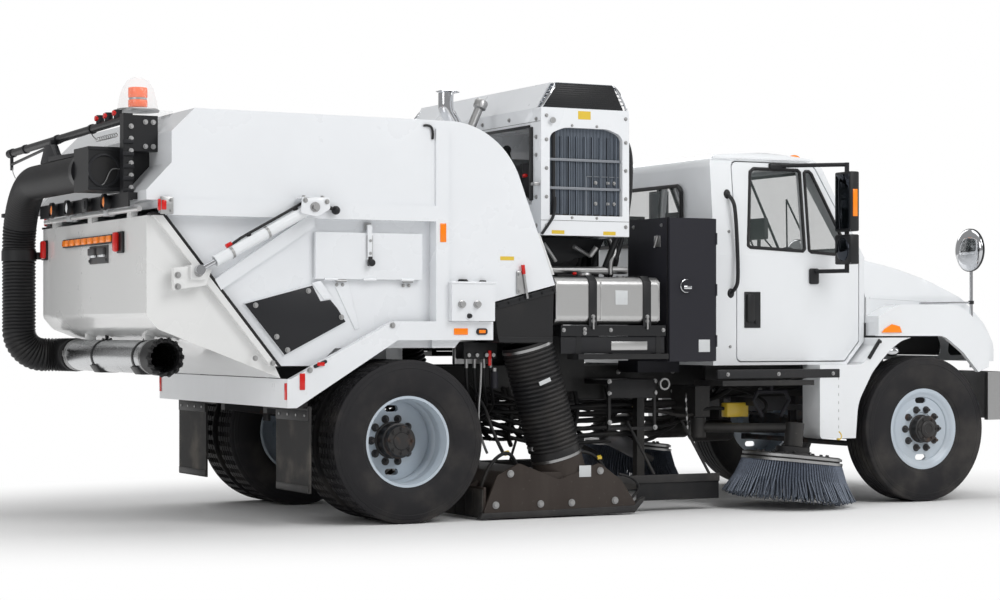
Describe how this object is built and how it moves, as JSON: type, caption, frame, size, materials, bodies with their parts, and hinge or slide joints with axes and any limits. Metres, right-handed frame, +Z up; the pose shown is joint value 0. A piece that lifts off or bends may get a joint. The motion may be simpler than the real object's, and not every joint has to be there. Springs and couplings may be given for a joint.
{
  "type": "street sweeper truck",
  "caption": "Air-suction street sweeper on a two-axle conventional-cab truck chassis, with tilting hood, tipping-door hopper, side gutter brooms and a rear hand hose.",
  "frame": {"origin": "on the ground below the middle of the truck", "axes": "+X forward, +Y to the driver's left, +Z up"},
  "size_m": [6.993, 3.1998, 2.89],
  "materials": {
    "white_paint": "gloss white body paint",
    "chassis_black": "satin black chassis paint",
    "cabinet_grey": "textured dark grey paint",
    "engine_grey": "cast engine grey",
    "spring_steel": "black spring steel",
    "head_brown": "dark brown wear plate",
    "tyre_rubber": "tyre rubber",
    "rim_white": "light grey enamel",
    "tank_aluminium": "brushed aluminium",
    "black_rubber": "moulded rubber",
    "glass": "tinted safety glass",
    "interior": "moulded interior",
    "chrome": "chrome plate",
    "screen_grey": "ribbed grey screen",
    "lamp_red": "lamp lens",
    "beacon_amber": "beacon lens",
    "bristles": "steel bristles",
    "cylinder_white": "painted cylinder",
    "rod_steel": "plated rod"
  },
  "bodies": {
    "chassis": {"frame_rails": "chassis_black", "frame_crossmembers": "chassis_black", "leaf_springs": "spring_steel", "front_axle": "chassis_black", "rear_axle": "chassis_black", "drivetrain": "engine_grey", "front_bumper": "chrome", "rear_bumper": "white_paint", "fender_rails": "white_paint", "mud_flaps": "black_rubber", "side_tanks": "tank_aluminium", "tool_cabinet": "cabinet_grey", "cab_shell": "white_paint", "splash_panels": "white_paint", "cab_glass": "glass", "cab_interior": "interior", "cab_steps": "chassis_black", "hopper_shell": "white_paint", "air_boots": "black_rubber", "air_hoses": "black_rubber", "pickup_head": "head_brown", "tool_links": "chassis_black", "engine_housing": "white_paint", "engine_stand": "chassis_black", "intake_screens": "screen_grey", "aux_engine": "engine_grey", "exhaust_stack": "chrome", "hose_port": "chassis_black", "rear_hose": "black_rubber", "beacon": "beacon_amber"},
    "hood": {"hood": "white_paint", "hood_trim": "interior", "hood_mirrors": "chrome"},
    "cab_door_right": {"cab_door_right": "white_paint", "door_glass_right": "glass"},
    "cab_door_left": {"cab_door_left": "white_paint", "door_glass_left": "glass"},
    "cabinet_door": {"cabinet_door": "cabinet_grey"},
    "inspection_door_right": {"inspection_door_right": "white_paint"},
    "inspection_door_left": {"inspection_door_left": "white_paint"},
    "rear_door": {"rear_door": "white_paint", "rear_lamps": "lamp_red", "hose_nozzle": "tank_aluminium"},
    "lift_barrels": {"lift_barrels": "cylinder_white"},
    "lift_rods": {"lift_rods": "rod_steel"},
    "knuckle_right": {"knuckle_right": "chassis_black"},
    "knuckle_left": {"knuckle_left": "chassis_black"},
    "tie_rod": {"tie_rod": "chassis_black"},
    "front_wheel_right": {"front_tyre_right": "tyre_rubber", "front_rim_right": "rim_white"},
    "front_wheel_left": {"front_tyre_left": "tyre_rubber", "front_rim_left": "rim_white"},
    "rear_wheels_right": {"rear_tyres_right": "tyre_rubber", "rear_rims_right": "rim_white"},
    "rear_wheels_left": {"rear_tyres_left": "tyre_rubber", "rear_rims_left": "rim_white"},
    "broom_arm_right": {"broom_arm_right": "chassis_black"},
    "broom_arm_left": {"broom_arm_left": "chassis_black"},
    "gutter_broom_right": {"gutter_broom_right": "bristles"},
    "gutter_broom_left": {"gutter_broom_left": "bristles"}
  },
  "joints": [
    {"name": "steer_left", "type": "hinge", "parent": "chassis", "child": "knuckle_left", "pos_m": [2.63, 0.86, 0.523], "axis": [0, 0, 1], "range_deg": [-35, 35]},
    {"name": "steer_right", "type": "hinge", "parent": "chassis", "child": "knuckle_right", "pos_m": [2.63, -0.86, 0.523], "axis": [0, 0, 1], "range_deg": [-35, 35]},
    {"name": "tie_rod_slide", "type": "slide", "parent": "chassis", "child": "tie_rod", "axis": [0, 1, 0], "range_m": [-0.115, 0.115]},
    {"name": "front_wheel_spin_right", "type": "hinge", "parent": "knuckle_right", "child": "front_wheel_right", "pos_m": [2.63, -1.04, 0.523], "axis": [0, 1, 0], "continuous": true},
    {"name": "rear_wheel_spin_right", "type": "hinge", "parent": "chassis", "child": "rear_wheels_right", "pos_m": [-1.49, -0.907, 0.523], "axis": [0, 1, 0], "continuous": true},
    {"name": "cab_door_right_hinge", "type": "hinge", "parent": "chassis", "child": "cab_door_right", "pos_m": [2.157, -1.016, 1.5], "axis": [0, 0, 1], "range_deg": [0, 65]},
    {"name": "inspection_door_right_hinge", "type": "hinge", "parent": "chassis", "child": "inspection_door_right", "pos_m": [-1.74, -1.14, 1.555], "axis": [1, 0, 0], "range_deg": [0, 90]},
    {"name": "broom_arm_right_swing", "type": "hinge", "parent": "chassis", "child": "broom_arm_right", "pos_m": [1, -0.69, 0.549], "axis": [0, 0, 1], "range_deg": [-12, 18]},
    {"name": "broom_spin_right", "type": "hinge", "parent": "broom_arm_right", "child": "gutter_broom_right", "pos_m": [1.495, -1.13, 0.33], "axis": [0.1045, 0, 0.9945], "continuous": true},
    {"name": "front_wheel_spin_left", "type": "hinge", "parent": "knuckle_left", "child": "front_wheel_left", "pos_m": [2.63, 1.04, 0.523], "axis": [0, 1, 0], "continuous": true},
    {"name": "rear_wheel_spin_left", "type": "hinge", "parent": "chassis", "child": "rear_wheels_left", "pos_m": [-1.49, 0.907, 0.523], "axis": [0, 1, 0], "continuous": true},
    {"name": "cab_door_left_hinge", "type": "hinge", "parent": "chassis", "child": "cab_door_left", "pos_m": [2.157, 1.016, 1.5], "axis": [0, 0, -1], "range_deg": [0, 65]},
    {"name": "inspection_door_left_hinge", "type": "hinge", "parent": "chassis", "child": "inspection_door_left", "pos_m": [-1.74, 1.14, 1.555], "axis": [-1, 0, 0], "range_deg": [0, 90]},
    {"name": "broom_arm_left_swing", "type": "hinge", "parent": "chassis", "child": "broom_arm_left", "pos_m": [1, 0.69, 0.549], "axis": [0, 0, -1], "range_deg": [-12, 18]},
    {"name": "broom_spin_left", "type": "hinge", "parent": "broom_arm_left", "child": "gutter_broom_left", "pos_m": [1.495, 1.13, 0.33], "axis": [0.1045, 0, 0.9945], "continuous": true},
    {"name": "hood_hinge", "type": "hinge", "parent": "chassis", "child": "hood", "pos_m": [3.33, 0, 0.985], "axis": [0, 1, 0], "range_deg": [0, 60]},
    {"name": "cabinet_door_hinge", "type": "hinge", "parent": "chassis", "child": "cabinet_door", "pos_m": [0.857, -1.148, 1.51], "axis": [0, 0, 1], "range_deg": [0, 100]},
    {"name": "rear_door_hinge", "type": "hinge", "parent": "chassis", "child": "rear_door", "pos_m": [-3.21, 0, 1.975], "axis": [0, 1, 0], "range_deg": [0, 80], "deforming": ["rear_hose"]},
    {"name": "lift_barrel_pivot", "type": "hinge", "parent": "chassis", "child": "lift_barrels", "pos_m": [-2.18, 0, 1.995], "axis": [0, 1, 0], "range_deg": [0, 12.66]},
    {"name": "lift_rod_slide", "type": "slide", "parent": "lift_barrels", "child": "lift_rods", "axis": [-0.8795, 0, -0.4759], "range_m": [0, 0.5704]}
  ],
  "couplings": [
    {"joint": "steer_right", "follows": "steer_left", "ratio": 1},
    {"joint": "tie_rod_slide", "follows": "steer_left", "m_per_rad": -0.188},
    {"joint": "lift_barrel_pivot", "follows": "rear_door_hinge", "ratio": 0.15805},
    {"joint": "lift_rod_slide", "follows": "rear_door_hinge", "m_per_rad": 0.40817}
  ]
}
